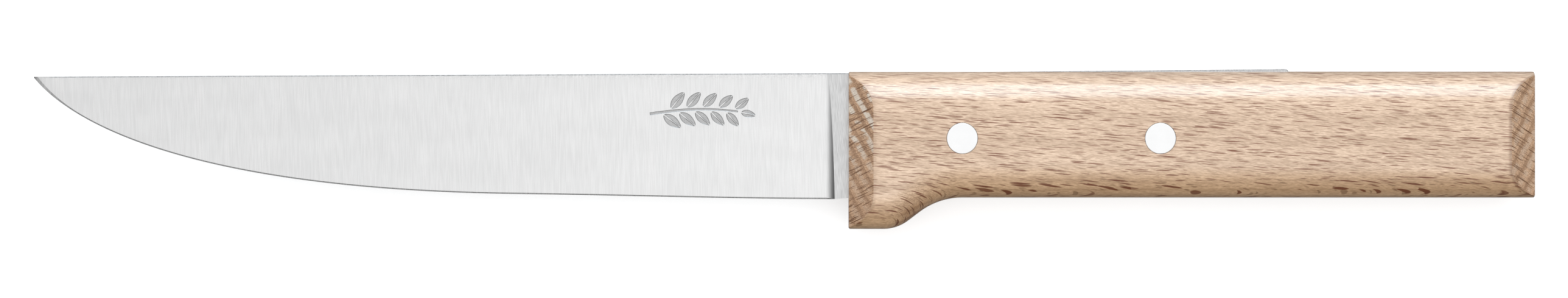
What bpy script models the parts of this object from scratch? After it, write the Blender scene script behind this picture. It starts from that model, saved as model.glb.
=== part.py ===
"""Boning knife: a flat-ground blade, a slotted beech handle and two compression rivets.

The knife lies on its right side. X runs from the tip to the butt, +Y points to the spine and +Z is
up, through the thickness. The origin is under the middle of the whole knife, on the surface it lies on.

Shapes are drawn in millimetres about one reference point: the top of the handle's front face, in the
blade's middle plane. There u runs back along X, v up along Y and w through the thickness along Z.
"""

import math

import bmesh
import bpy

MM = 0.001

# Driving dimensions, millimetres.
BLADE_LENGTH = 160.0  # tip to the handle's front face
HANDLE_LENGTH = 134.6
HANDLE_THICKNESS = 17.0
HANDLE_HEIGHT = 24.7  # along the grip
GUARD_DEPTH = 30.85  # handle's top line to the bottom of its front guard
SHEET_THICKNESS = 2.0  # steel the blade is stamped from
RIVET_DIAMETER = 6.1
RIVET_PLACES = ((22.2, -13.1), (61.0, -13.1))  # u, v
FIT_GAP = 0.2  # between a piece and the one it is assembled in

# Blade: outline.
SPINE_HEEL_V = -0.3  # spine, at the handle's front face
SPINE_DROP = 0.7  # how far the spine falls from there to the tip
TIP_HEIGHT = 0.25  # the tip is this blunt
BELLY_PULLS = ((-154.6, -7.9), (-134.9, -23.1))  # Bezier handles from the tip to the belly's end
BELLY_END = (-66.0, -24.0)  # where the curved belly runs out into the straight edge
EDGE_PULLS = ((-40.0, -24.35), (-24.0, -25.0))  # Bezier handles from there to the heel
HEEL_EDGE = (-3.05, -25.0)  # rear end of the edge
RICASSO_BOTTOM_V = -24.8  # at the handle's front face

# Blade: grind.
SHEET_HALF = SHEET_THICKNESS / 2
GRIND_TOP_HALF = 0.98  # half thickness of the ground face at the spine
GRIND_SLOPE = 0.0352  # half thickness lost for each millimetre below the spine
TAPER_START = -80.0  # the spine gets thinner from here to the tip
TIP_HALF = 0.3
BEVEL_WIDTH = 0.25  # cutting bevel along the straight edge
TIP_BEVEL_WIDTH = 0.6
BEVEL_WIDENING = 12.0  # stretch behind the tip in which the bevel widens
BEVEL_LIMIT = 0.6  # most of the blade's depth that the bevel may take, at the very tip
PLUNGE_START = -4.45  # where the ground face starts to rise to the ricasso
PLUNGE_RADIUS = 2.15

# Tang.
TANG_LENGTH = 86.4
TANG_RISE = 0.009  # slope of the tang's top edge, which stands proud of the wood at its end
TANG_DEPTH = 19.8  # below the handle's top line
TANG_FULL_DEPTH_END = 3.0  # the tang is as deep as the ricasso up to here
TANG_STEP_END = 10.0
TANG_TOP_RADIUS = 0.7
TANG_BOTTOM_RADIUS = 3.0

# Handle: section, end facets and the guard's inner curve.
CROWN_DROP_FRONT = 7.7  # height of the rounded top
CROWN_DROP_BUTT = 7.0
BELLY_RISE_FRONT = 6.8  # height of the rounded underside
BELLY_RISE_BUTT = 5.8
BELLY_FLAT_HALF = 1.5
END_FACE_HALF = 3.68  # half thickness left where the 45 degree facets meet the end faces
END_CHAMFER = 0.35
GUARD_CURVE_START = 6.8
GUARD_CONVEX_RADIUS = 8.05
GUARD_CONCAVE_RADIUS = 13.9
GUARD_ANGLE = math.radians(37.0)

# Rivets.
HEAD_THICKNESS = 1.6
HEAD_SET_IN = 0.02  # each head lies this far below the wood
HEAD_CHAMFER = 0.15
SHANK_RADIUS = 1.5
SLEEVE_RADIUS = 2.4
SLEEVE_END_W = 4.9
SLEEVE_FLOOR_W = -6.0

# Mesh.
SECTION_ROWS = 6  # on each ground face, from the spine to the bevel
BELLY_COLUMNS = 26
HEEL_COLUMNS = 6
PLUNGE_COLUMNS = 5
CORNER_COLUMNS = 5
GUARD_COLUMNS = 7  # on each of the guard's two arcs
CROWN_POINTS = 9  # on each quarter of the handle's section
TURNED_SEGMENTS = 48
CUT_PAST = 5.0  # how far a cutter passes the surface it opens
END_PAST = -1.0  # where the facets' prism ends, measured from each end face into the handle

HANDLE_HALF = HANDLE_THICKNESS / 2
HEAD_RADIUS = RIVET_DIAMETER / 2
HEAD_FACE_W = HANDLE_HALF - HEAD_SET_IN
HEAD_SEAT_W = HEAD_FACE_W - HEAD_THICKNESS
BORE_RADIUS = SLEEVE_RADIUS + FIT_GAP


def bezier(points, t):
    """Point at t on a cubic Bezier curve."""
    s = 1 - t
    weights = (s**3, 3 * s * s * t, 3 * s * t * t, t**3)
    return tuple(sum(w * p[axis] for w, p in zip(weights, points)) for axis in (0, 1))


def mix(a, b, t):
    return a + (b - a) * t


# ---------------------------------------------------------------- blade


def spine_v(u):
    """Height of the top edge: the spine in front of the handle, the tang's top edge inside it."""
    if u > 0:
        return SPINE_HEEL_V + TANG_RISE * u
    return SPINE_HEEL_V + SPINE_DROP * u / BLADE_LENGTH


def ground_half(v):
    """Half thickness of the flat ground face, one plane behind TAPER_START."""
    return GRIND_TOP_HALF + GRIND_SLOPE * (v - SPINE_HEEL_V)


def bevel_width(u, height):
    """Width of the cutting bevel, wider at the tip and never more than the blade has room for."""
    share = max(0.0, 1 - (u + BLADE_LENGTH) / BEVEL_WIDENING)
    return min(mix(BEVEL_WIDTH, TIP_BEVEL_WIDTH, share**2), height * BEVEL_LIMIT)


def edge_points():
    """The cutting edge from tip to heel: the curved belly, then the nearly straight edge."""
    tip = (-BLADE_LENGTH, spine_v(-BLADE_LENGTH) - TIP_HEIGHT)
    belly = (tip, *BELLY_PULLS, BELLY_END)
    heel = (BELLY_END, *EDGE_PULLS, HEEL_EDGE)
    points = [bezier(belly, i / BELLY_COLUMNS) for i in range(BELLY_COLUMNS)]
    points += [bezier(heel, i / HEEL_COLUMNS) for i in range(HEEL_COLUMNS)]
    return [p for p in points if p[0] < PLUNGE_START]


def ground_column(u, edge_v):
    """Points (u, v, w) down one ground face, from the spine to the top of the cutting bevel."""
    top_v = spine_v(u)
    bevel_v = edge_v + bevel_width(u, top_v - edge_v)
    share = max(0.0, (TAPER_START - u) / (BLADE_LENGTH + TAPER_START))
    top_half = mix(ground_half(top_v), TIP_HALF, share**2)
    bevel_half = ground_half(min(bevel_v, BELLY_END[1] + BEVEL_WIDTH))
    rows = [i / SECTION_ROWS for i in range(SECTION_ROWS + 1)]
    return [(u, mix(top_v, bevel_v, t), mix(top_half, bevel_half, t)) for t in rows]


def plunge_column(step):
    """Points where the grind curves up to the ricasso, along an arc that is tangent to the grind."""
    share = step / PLUNGE_COLUMNS
    column = []
    for _, v, half in ground_column(PLUNGE_START, HEEL_EDGE[1]):
        depth = SHEET_HALF - half
        run = math.sqrt(2 * PLUNGE_RADIUS * depth - depth**2) * share
        rise = PLUNGE_RADIUS - math.sqrt(PLUNGE_RADIUS**2 - run**2)
        column.append((PLUNGE_START + run, v, half + rise))
    return column


def sheet_column(u, top_v, bottom_v):
    """Points down the full-thickness steel of the ricasso or the tang."""
    rows = [i / SECTION_ROWS for i in range(SECTION_ROWS + 1)]
    return [(u, mix(top_v, bottom_v, t), SHEET_HALF) for t in rows]


def tang_bottom(u):
    """Lower edge of the tang: ricasso depth, a smooth step up, then straight."""
    if u <= TANG_FULL_DEPTH_END:
        return RICASSO_BOTTOM_V
    share = min(1.0, (u - TANG_FULL_DEPTH_END) / (TANG_STEP_END - TANG_FULL_DEPTH_END))
    return mix(RICASSO_BOTTOM_V, -TANG_DEPTH, (1 - math.cos(math.pi * share)) / 2)


def corner_fall(u, corner_u, radius):
    """How far a rounded corner of the tang's end has turned away from the straight edge at u."""
    into = max(0.0, u - (corner_u - radius))
    return radius - math.sqrt(max(0.0, radius**2 - into**2))


def tang_columns():
    """(u, top v, bottom v) from the handle's front face to the end of the tang."""
    steps = [i / CORNER_COLUMNS for i in range(CORNER_COLUMNS + 1)]
    places = [0.0] + [mix(TANG_FULL_DEPTH_END, TANG_STEP_END, t) for t in steps]
    for radius in (TANG_BOTTOM_RADIUS, TANG_TOP_RADIUS):
        places += [TANG_LENGTH - radius + radius * math.sin(t * math.pi / 2) for t in steps]
    columns = []
    for u in sorted(set(places)):
        top = spine_v(u) - corner_fall(u, TANG_LENGTH, TANG_TOP_RADIUS)
        bottom = tang_bottom(u) + corner_fall(u, TANG_LENGTH, TANG_BOTTOM_RADIUS)
        columns.append((u, top, bottom))
    return columns


def blade_columns():
    """Each column is the points down one side, and the point where the two sides meet below."""
    columns = [(ground_column(u, v), (u, v)) for u, v in edge_points()]
    for step in range(PLUNGE_COLUMNS + 1):
        column = plunge_column(step)
        share = step / PLUNGE_COLUMNS
        last_u, last_v, last_half = column[-1]
        column[-1] = (last_u, mix(last_v, HEEL_EDGE[1], share), last_half)
        columns.append((column, (last_u, HEEL_EDGE[1])))
    for u, top, bottom in tang_columns():
        columns.append((sheet_column(u, top, bottom), (u, bottom)))
    return columns


def make_blade(root, steel):
    """Loft the columns into one closed body: two sides, the spine, the edge and the two ends."""
    bm = bmesh.new()
    rings = []
    for side, (foot_u, foot_v) in blade_columns():
        right = [bm.verts.new((u * MM, v * MM, w * MM)) for u, v, w in side]
        left = [bm.verts.new((u * MM, v * MM, -w * MM)) for u, v, w in side]
        foot = bm.verts.new((foot_u * MM, foot_v * MM, 0))
        rings.append(right + [foot] + left[::-1])
    for ring, following in zip(rings, rings[1:]):
        join_rings(bm, ring, following)
    for ring in (rings[0], rings[-1]):
        close_blade_end(bm, ring)
    blade = finish(bm, "blade", root, steel, smooth_angle=12)
    bore = [(BORE_RADIUS, CUT_PAST), (BORE_RADIUS, -CUT_PAST)]
    for number, (u, v) in enumerate(RIVET_PLACES, 1):
        hole = turned_cutter(f"tang_hole_{number}", bore, root)
        hole.location = (u * MM, v * MM, 0)
        cut(blade, hole, "DIFFERENCE")


def close_blade_end(bm, ring):
    """Close an end of the blade with strips across it, and three triangles round the lowest point."""
    last, foot = len(ring) - 1, len(ring) // 2
    for i in range(foot - 2):
        bm.faces.new((ring[i], ring[i + 1], ring[last - i - 1], ring[last - i]))
    inner_right, right, bottom, left, inner_left = ring[foot - 2:foot + 3]
    bm.faces.new((inner_right, right, bottom))
    bm.faces.new((inner_right, bottom, inner_left))
    bm.faces.new((bottom, left, inner_left))


# --------------------------------------------------------------- handle


def guard_points():
    """(u, v, slope) along the underside where the guard sweeps up to the grip: arc, straight, arc."""
    turn = 1 - math.cos(GUARD_ANGLE)
    grip_v = -HANDLE_HEIGHT
    first_end = (GUARD_CURVE_START + GUARD_CONVEX_RADIUS * math.sin(GUARD_ANGLE),
                 -GUARD_DEPTH + GUARD_CONVEX_RADIUS * turn)
    second_start_v = grip_v - GUARD_CONCAVE_RADIUS * turn
    straight = (second_start_v - first_end[1]) / math.tan(GUARD_ANGLE)
    curve_end_u = first_end[0] + straight + GUARD_CONCAVE_RADIUS * math.sin(GUARD_ANGLE)
    points = []
    for i in range(GUARD_COLUMNS + 1):
        a = GUARD_ANGLE * i / GUARD_COLUMNS
        points.append((GUARD_CURVE_START + GUARD_CONVEX_RADIUS * math.sin(a),
                       -GUARD_DEPTH + GUARD_CONVEX_RADIUS * (1 - math.cos(a)), a))
    for i in range(GUARD_COLUMNS + 1):
        a = GUARD_ANGLE * (1 - i / GUARD_COLUMNS)
        points.append((curve_end_u - GUARD_CONCAVE_RADIUS * math.sin(a),
                       grip_v - GUARD_CONCAVE_RADIUS * (1 - math.cos(a)), a))
    return points


def handle_section(u, bottom_v, slope, inset):
    """Points (v, w) round the handle: elliptic crown, flat sides, elliptic underside with a flat."""
    share = u / HANDLE_LENGTH
    crown = mix(CROWN_DROP_FRONT, CROWN_DROP_BUTT, share)
    rise = mix(BELLY_RISE_FRONT, BELLY_RISE_BUTT, share) / math.cos(slope)
    half = HANDLE_HALF - inset
    top, bottom = -inset, bottom_v + inset
    turns = [math.radians(90 * i / (CROWN_POINTS - 1)) for i in range(CROWN_POINTS)]
    right = [(top - crown * (1 - math.cos(a)), half * math.sin(a)) for a in turns]
    width = half - BELLY_FLAT_HALF
    right += [(bottom + rise * (1 - math.sin(a)), BELLY_FLAT_HALF + width * math.cos(a)) for a in turns]
    left = [(v, -w) for v, w in right[:0:-1]]
    return right + left


def make_handle(root, beech):
    """Loft the block, cut its end facets, then the tang's slot and the rivets' stepped holes."""
    ends = [(0.0, -GUARD_DEPTH, END_CHAMFER), (END_CHAMFER, -GUARD_DEPTH, 0.0)]
    stations = [(u, v, 0.0, inset) for u, v, inset in ends]
    stations += [(u, v, slope, 0.0) for u, v, slope in guard_points()]
    stations += [(HANDLE_LENGTH - END_CHAMFER, -HANDLE_HEIGHT, 0.0, 0.0),
                 (HANDLE_LENGTH, -HANDLE_HEIGHT, 0.0, END_CHAMFER)]
    bm = bmesh.new()
    rings = []
    for u, bottom_v, slope, inset in stations:
        section = handle_section(u, bottom_v, slope, inset)
        rings.append([bm.verts.new((u * MM, v * MM, w * MM)) for v, w in section])
    for ring, following in zip(rings, rings[1:]):
        join_rings(bm, ring, following)
    bm.faces.new(rings[0])
    bm.faces.new(rings[-1])
    handle = finish(bm, "handle", root, beech, smooth_angle=25)
    cut(handle, facet_prism(root), "INTERSECT")
    cut(handle, slot_cutter(root), "DIFFERENCE")
    for number, (u, v) in enumerate(RIVET_PLACES, 1):
        hole = turned_cutter(f"rivet_hole_{number}", rivet_hole_profile(), root)
        hole.location = (u * MM, v * MM, 0)
        cut(handle, hole, "DIFFERENCE")


def facet_prism(root):
    """Upright prism whose plan is the handle's: a bar with a 45 degree facet at each corner."""
    run = HANDLE_HALF + CUT_PAST - END_FACE_HALF
    right = [(END_PAST, END_FACE_HALF + END_PAST),
             (run, END_FACE_HALF + run),
             (HANDLE_LENGTH - run, END_FACE_HALF + run),
             (HANDLE_LENGTH - END_PAST, END_FACE_HALF + END_PAST)]
    plan = right + [(u, -w) for u, w in right[::-1]]
    low, high = -GUARD_DEPTH - CUT_PAST, CUT_PAST
    return extruded_cutter("facet_prism", [(u, low, w) for u, w in plan], (0, high - low, 0), root)


def slot_cutter(root):
    """The tang's outline with clearance below and behind it, open at the handle's top and front."""
    half = SHEET_HALF + FIT_GAP
    lower = [(u, bottom) for u, _, bottom in tang_columns() if u <= TANG_STEP_END]
    outline = [(-CUT_PAST, CUT_PAST), (-CUT_PAST, RICASSO_BOTTOM_V - FIT_GAP)]
    outline += [(u + FIT_GAP * (u > 0), bottom - FIT_GAP) for u, bottom in lower]
    outline += [(TANG_LENGTH + FIT_GAP, -TANG_DEPTH - FIT_GAP), (TANG_LENGTH + FIT_GAP, CUT_PAST)]
    return extruded_cutter("slot_cutter", [(u, v, -half) for u, v in outline], (0, 0, 2 * half), root)


# --------------------------------------------------------------- rivets


def rivet_hole_profile():
    """Stepped hole through the wood: a seat for each head and a bore for the sleeve."""
    seat_radius = HEAD_RADIUS + FIT_GAP
    seat_w = HEAD_SEAT_W - FIT_GAP
    past = HANDLE_HALF + CUT_PAST
    upper = [(seat_radius, past), (seat_radius, seat_w), (BORE_RADIUS, seat_w)]
    return upper + [(r, -w) for r, w in upper[::-1]]


def post_profile():
    """Solid half of a rivet, from its head's face down to the end of its shank."""
    return [(HEAD_RADIUS - HEAD_CHAMFER, HEAD_FACE_W),
            (HEAD_RADIUS, HEAD_FACE_W - HEAD_CHAMFER),
            (HEAD_RADIUS, HEAD_SEAT_W),
            (SHANK_RADIUS, HEAD_SEAT_W),
            (SHANK_RADIUS, SLEEVE_FLOOR_W + 2 * FIT_GAP)]


def sleeve_profile():
    """Hollow half, from the floor of its bore up over its rim and down to its head's face."""
    bore = SHANK_RADIUS + FIT_GAP
    return [(bore, SLEEVE_FLOOR_W),
            (bore, SLEEVE_END_W),
            (SLEEVE_RADIUS, SLEEVE_END_W),
            (SLEEVE_RADIUS, -HEAD_SEAT_W),
            (HEAD_RADIUS, -HEAD_SEAT_W),
            (HEAD_RADIUS, HEAD_CHAMFER - HEAD_FACE_W),
            (HEAD_RADIUS - HEAD_CHAMFER, -HEAD_FACE_W)]


def make_rivets(root, aluminium):
    """Both halves of both rivets, each about its own axis."""
    for place, (u, v) in zip(("front", "rear"), RIVET_PLACES):
        for half, profile in (("post", post_profile()), ("sleeve", sleeve_profile())):
            piece = finish(turned(profile), f"{place}_rivet_{half}", root, aluminium, smooth_angle=25)
            piece.location = (u * MM, v * MM, 0)


# -------------------------------------------------------- shared tools


def join_rings(bm, ring, following):
    """Join two rings of points, each closed on itself, with one face between each pair."""
    for i, vert in enumerate(ring):
        j = (i + 1) % len(ring)
        bm.faces.new((vert, ring[j], following[j], following[i]))


def turned(profile):
    """Body of revolution about w: the profile's (radius, w) points spun round, its two ends capped."""
    bm = bmesh.new()
    turns = [2 * math.pi * i / TURNED_SEGMENTS for i in range(TURNED_SEGMENTS)]
    rings = []
    for radius, w in profile:
        places = [(radius * MM * math.cos(a), radius * MM * math.sin(a), w * MM) for a in turns]
        rings.append([bm.verts.new(place) for place in places])
    for ring, following in zip(rings, rings[1:]):
        join_rings(bm, ring, following)
    bm.faces.new(rings[0])
    bm.faces.new(rings[-1])
    return bm


def turned_cutter(name, profile, root):
    return as_cutter(finish(turned(profile), name, root))


def extruded_cutter(name, outline, along, root):
    """Prism from a flat outline of points, extruded along a vector, all in millimetres."""
    bm = bmesh.new()
    face = bm.faces.new([bm.verts.new([c * MM for c in point]) for point in outline])
    copy = bmesh.ops.extrude_face_region(bm, geom=[face])["geom"]
    moved = [item for item in copy if isinstance(item, bmesh.types.BMVert)]
    bmesh.ops.translate(bm, vec=[c * MM for c in along], verts=moved)
    return as_cutter(finish(bm, name, root))


def finish(bm, name, root, material=None, smooth_angle=None):
    """Turn a bmesh into an object on the knife's root, its faces pointing out."""
    bmesh.ops.recalc_face_normals(bm, faces=bm.faces)
    mesh = bpy.data.meshes.new(name)
    bm.to_mesh(mesh)
    bm.free()
    piece = bpy.data.objects.new(name, mesh)
    bpy.context.collection.objects.link(piece)
    piece.parent = root
    if material:
        mesh.materials.append(material)
    if smooth_angle:
        mesh.shade_smooth()
        mesh.set_sharp_from_angle(angle=math.radians(smooth_angle))
    return piece


def as_cutter(piece):
    piece.hide_render = True
    piece.display_type = "WIRE"
    return piece


def cut(piece, cutter, operation):
    modifier = piece.modifiers.new(cutter.name, "BOOLEAN")
    modifier.operation = operation
    modifier.solver = "EXACT"
    modifier.object = cutter


def principled(name, colour, roughness, metallic):
    material = bpy.data.materials.new(name)
    material.use_nodes = True
    shader = material.node_tree.nodes["Principled BSDF"]
    shader.inputs["Base Color"].default_value = (*colour, 1)
    shader.inputs["Roughness"].default_value = roughness
    shader.inputs["Metallic"].default_value = metallic
    return material


def clear_scene():
    for existing in list(bpy.data.objects):
        bpy.data.objects.remove(existing, do_unlink=True)


def knife_root():
    """Empty at the shapes' reference point, so that the whole knife is centred on the origin."""
    root = bpy.data.objects.new("knife", None)
    bpy.context.collection.objects.link(root)
    tang_top = spine_v(TANG_LENGTH - TANG_TOP_RADIUS)
    root.location = ((BLADE_LENGTH - HANDLE_LENGTH) / 2 * MM,
                     (GUARD_DEPTH - tang_top) / 2 * MM,
                     HANDLE_HALF * MM)
    return root


def main():
    clear_scene()
    root = knife_root()
    make_blade(root, principled("steel", (0.78, 0.78, 0.78), 0.35, 1.0))
    make_handle(root, principled("beech", (0.69, 0.51, 0.38), 0.5, 0.0))
    make_rivets(root, principled("aluminium", (0.93, 0.93, 0.93), 0.35, 1.0))


main()
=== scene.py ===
"""Looks of the boning knife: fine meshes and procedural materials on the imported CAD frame.

Shapes are drawn in millimetres about one reference point, the top of the handle's front face in the
blade's middle plane. There u runs back along X, v up along Y and w through the thickness along Z.
"""

import math

import bmesh
import bpy
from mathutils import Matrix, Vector

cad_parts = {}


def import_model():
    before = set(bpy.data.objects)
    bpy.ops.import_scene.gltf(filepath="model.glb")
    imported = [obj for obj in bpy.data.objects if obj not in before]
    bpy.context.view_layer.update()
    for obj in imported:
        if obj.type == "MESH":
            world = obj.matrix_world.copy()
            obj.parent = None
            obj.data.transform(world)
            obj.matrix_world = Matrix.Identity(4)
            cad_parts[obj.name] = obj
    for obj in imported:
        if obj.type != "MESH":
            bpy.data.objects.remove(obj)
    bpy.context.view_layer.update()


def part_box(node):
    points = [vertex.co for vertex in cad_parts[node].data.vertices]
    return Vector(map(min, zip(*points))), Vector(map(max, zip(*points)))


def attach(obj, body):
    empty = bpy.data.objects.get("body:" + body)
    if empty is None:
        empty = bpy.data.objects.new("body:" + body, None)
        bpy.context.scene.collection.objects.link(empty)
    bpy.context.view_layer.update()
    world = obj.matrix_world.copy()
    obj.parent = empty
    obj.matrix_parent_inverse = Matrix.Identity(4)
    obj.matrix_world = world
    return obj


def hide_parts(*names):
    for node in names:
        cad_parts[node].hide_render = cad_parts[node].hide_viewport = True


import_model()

MM = 0.001
BLADE_LOW, BLADE_HIGH = (Vector(corner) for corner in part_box("blade"))
HANDLE_LOW, HANDLE_HIGH = (Vector(corner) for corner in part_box("handle"))
REFERENCE = Vector((HANDLE_LOW.x, HANDLE_HIGH.y, (HANDLE_LOW.z + HANDLE_HIGH.z) / 2))


def size_of(node):
    low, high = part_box(node)
    return (Vector(high) - Vector(low)) / MM


def middle_of(node):
    """Middle of a CAD node, as (u, v, w)."""
    low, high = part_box(node)
    return ((Vector(low) + Vector(high)) / 2 - REFERENCE) / MM


# Sizes read from the frame, millimetres.
BLADE_LENGTH = (REFERENCE.x - BLADE_LOW.x) / MM
TANG_LENGTH = (BLADE_HIGH.x - REFERENCE.x) / MM
SHEET_HALF = size_of("blade").z / 2
HANDLE_LENGTH = size_of("handle").x
HANDLE_HALF = size_of("handle").z / 2
GUARD_DEPTH = size_of("handle").y
HEAD_RADIUS = size_of("front_rivet_post").x / 2
HEAD_FACE_W = (Vector(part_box("front_rivet_post")[1]) - REFERENCE).z / MM
RIVETS = {place: middle_of(f"{place}_rivet_post").xy for place in ("front", "rear")}

# Blade: the CAD's design values, apart from the bevel at the tip and the rounded spine.
SPINE_HEEL_V = -0.3
SPINE_DROP = 0.7
TIP_HEIGHT = 0.25
BELLY_PULLS = ((-154.6, -7.9), (-134.9, -23.1))
BELLY_END = (-66.0, -24.0)
EDGE_PULLS = ((-40.0, -24.35), (-24.0, -25.0))
HEEL_EDGE = (-3.05, -25.0)
RICASSO_BOTTOM_V = -24.8
GRIND_TOP_HALF = 0.98
GRIND_SLOPE = 0.0352
TAPER_START = -80.0
TIP_HALF = 0.3
BEVEL_WIDTH = 0.25
TIP_BEVEL_WIDTH = 0.75
BEVEL_WIDENING = 10.0
BEVEL_LIMIT = 0.95
PLUNGE_START = -4.45
PLUNGE_RADIUS = 2.15
TANG_RISE = 0.009
TANG_DEPTH = 19.8
TANG_FULL_DEPTH_END = 3.0
TANG_STEP_END = 10.0
TANG_TOP_RADIUS = 0.7
TANG_BOTTOM_RADIUS = 3.0
SPINE_ROUNDING = 0.2  # how far the spine's corner falls in the side view
SPINE_ROUNDING_ACROSS = 0.36  # and across the thickness
SPINE_ROUNDING_LIMIT = 0.04  # its largest share of the blade's depth, near the tip

# Handle: the CAD's design values, with softer edges and closer fits.
HANDLE_HEIGHT = 24.7
CROWN_DROP_FRONT = 7.7
CROWN_DROP_BUTT = 7.0
BELLY_RISE_FRONT = 6.8
BELLY_RISE_BUTT = 5.8
BELLY_FLAT_HALF = 1.5
END_FACE_HALF = 3.68
GUARD_CURVE_START = 6.8
GUARD_CONVEX_RADIUS = 8.05
GUARD_CONCAVE_RADIUS = 13.9
GUARD_ANGLE = math.radians(37.0)
END_ROUNDING = 0.3  # radius round the end faces
FACET_ROUNDING = 0.14  # how softly the facets meet the sides
SLOT_CLEARANCE = 0.03
HEAD_CLEARANCE = 0.035

# Rivets: the CAD's design values, with closer fits.
HEAD_THICKNESS = 1.6
SHANK_RADIUS = 1.5
SLEEVE_RADIUS = 2.4
SLEEVE_END_W = 4.9
SLEEVE_FLOOR_W = -6.0
BORE_CLEARANCE = 0.05
HEAD_ROUNDING = 0.12
POST_TIP_GAP = 0.4
POST_CHAMFER = 0.3

CUTTER_REACH = 5.0  # how far a cutter goes past what it cuts


def mix(a, b, t):
    return a + (b - a) * t


def shares(count):
    """Even steps from 0 to 1, both included."""
    return [i / count for i in range(count + 1)]


def bezier(points, t):
    s = 1 - t
    weights = (s**3, 3 * s * s * t, 3 * s * t * t, t**3)
    return tuple(sum(w * p[axis] for w, p in zip(weights, points)) for axis in (0, 1))


# ------------------------------------------------------------ mesh tools


def world(u, v, w):
    return REFERENCE + Vector((u, v, w)) * MM


def join_rings(bm, ring, following, materials=None):
    """Join two closed rings of points with one face between each pair."""
    for i, vert in enumerate(ring):
        j = (i + 1) % len(ring)
        face = bm.faces.new((vert, ring[j], following[j], following[i]))
        if materials:
            face.material_index = materials[i]


def close_halves(bm, ring, material=0):
    """Close an end ring whose second half mirrors its first, with strips across it."""
    last, foot = len(ring) - 1, len(ring) // 2
    for i in range(foot - 2):
        face = bm.faces.new((ring[i], ring[i + 1], ring[last - i - 1], ring[last - i]))
        face.material_index = material
    inner_right, right, bottom, left, inner_left = ring[foot - 2:foot + 3]
    bm.faces.new((inner_right, right, bottom)).material_index = material
    bm.faces.new((inner_right, bottom, inner_left)).material_index = material
    bm.faces.new((bottom, left, inner_left)).material_index = material


def finish(bm, name, materials=(), smooth_angle=None):
    bmesh.ops.recalc_face_normals(bm, faces=bm.faces)
    mesh = bpy.data.meshes.new(name)
    bm.to_mesh(mesh)
    bm.free()
    piece = bpy.data.objects.new(name, mesh)
    bpy.context.collection.objects.link(piece)
    for material in materials:
        mesh.materials.append(material)
    if smooth_angle:
        smooth(mesh, smooth_angle)
    return piece


def smooth(mesh, degrees):
    mesh.shade_smooth()
    mesh.set_sharp_from_angle(angle=math.radians(degrees))


def carve(piece, cutters, smooth_angle):
    """Cut each cutter out of the piece, apply the cuts and remove the cutters."""
    for cutter in cutters:
        modifier = piece.modifiers.new(cutter.name, "BOOLEAN")
        modifier.operation = "DIFFERENCE"
        modifier.solver = "EXACT"
        modifier.material_mode = "TRANSFER"
        modifier.object = cutter
    cut_piece = piece.evaluated_get(bpy.context.evaluated_depsgraph_get())
    carved = bpy.data.meshes.new_from_object(cut_piece)
    piece.modifiers.clear()
    piece.data = carved
    smooth(carved, smooth_angle)
    for cutter in cutters:
        bpy.data.objects.remove(cutter, do_unlink=True)


def turned(profile, centre, segments=96):
    """Body of revolution about the thickness direction, from (radius, w) points, ends capped."""
    bm = bmesh.new()
    u, v = centre
    turns = [2 * math.pi * t for t in shares(segments)[:-1]]
    rings = []
    for radius, w in profile:
        places = [world(u + radius * math.cos(a), v + radius * math.sin(a), w) for a in turns]
        rings.append([bm.verts.new(place) for place in places])
    for ring, following in zip(rings, rings[1:]):
        join_rings(bm, ring, following)
    bm.faces.new(rings[0])
    bm.faces.new(rings[-1])
    return bm


# ---------------------------------------------------------- shader tools


def new_material(name, colour=(0.8, 0.8, 0.8), **sockets):
    material = bpy.data.materials.new(name)
    material.use_nodes = True
    tree = material.node_tree
    shader = tree.nodes["Principled BSDF"]
    shader.inputs["Base Color"].default_value = (*colour, 1)
    for socket, value in sockets.items():
        shader.inputs[socket.replace("_", " ")].default_value = value
    return material, tree, shader


def feed(tree, socket, value):
    """Link a socket to an output, or set its value."""
    if isinstance(value, bpy.types.NodeSocket):
        tree.links.new(value, socket)
    elif isinstance(value, (tuple, list)) and len(value) == 3 and socket.type == "RGBA":
        socket.default_value = (*value, 1)
    else:
        socket.default_value = value


def add(tree, kind, inputs, output=0, **settings):
    """Add a node with its settings and inputs, and return one of its outputs."""
    made = tree.nodes.new(f"ShaderNode{kind}")
    for name, value in settings.items():
        setattr(made, name, value)
    for key, value in inputs.items():
        feed(tree, made.inputs[key], value)
    return made.outputs[output]


def math_node(tree, operation, *values, clamp=False):
    return add(tree, "Math", dict(enumerate(values)), operation=operation, use_clamp=clamp)


def vector_node(tree, operation, *values, output=0):
    return add(tree, "VectorMath", dict(enumerate(values)), output, operation=operation)


def times(tree, *values):
    product = values[0]
    for value in values[1:]:
        product = math_node(tree, "MULTIPLY", product, value)
    return product


def dot(tree, vector, direction):
    return vector_node(tree, "DOT_PRODUCT", vector, tuple(direction), output="Value")


def axis_of(tree, vector, axis):
    return add(tree, "SeparateXYZ", {"Vector": vector}, axis)


def between(tree, value, span, to=(0.0, 1.0)):
    """Smooth step that goes from to[0] to to[1] as the value goes from span[0] to span[1]."""
    inputs = {"Value": value, "From Min": span[0], "From Max": span[1], "To Min": to[0], "To Max": to[1]}
    return add(tree, "MapRange", inputs, interpolation_type="SMOOTHSTEP")


def grey(tree, value):
    return add(tree, "CombineColor", {"Red": value, "Green": value, "Blue": value})


MIX_FACTOR, MIX_A, MIX_B = 0, 6, 7  # where a colour Mix node has its inputs
MIX_RESULT = 2  # and its output


def blend(tree, factor, a, b, kind="MIX"):
    """Mix two colours."""
    made = tree.nodes.new("ShaderNodeMix")
    made.data_type = "RGBA"
    made.blend_type = kind
    for place, value in ((MIX_FACTOR, factor), (MIX_A, a), (MIX_B, b)):
        feed(tree, made.inputs[place], value)
    return made.outputs[MIX_RESULT]


def tinted(tree, colour, tint):
    return blend(tree, 1.0, colour, tint, "MULTIPLY")


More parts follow.
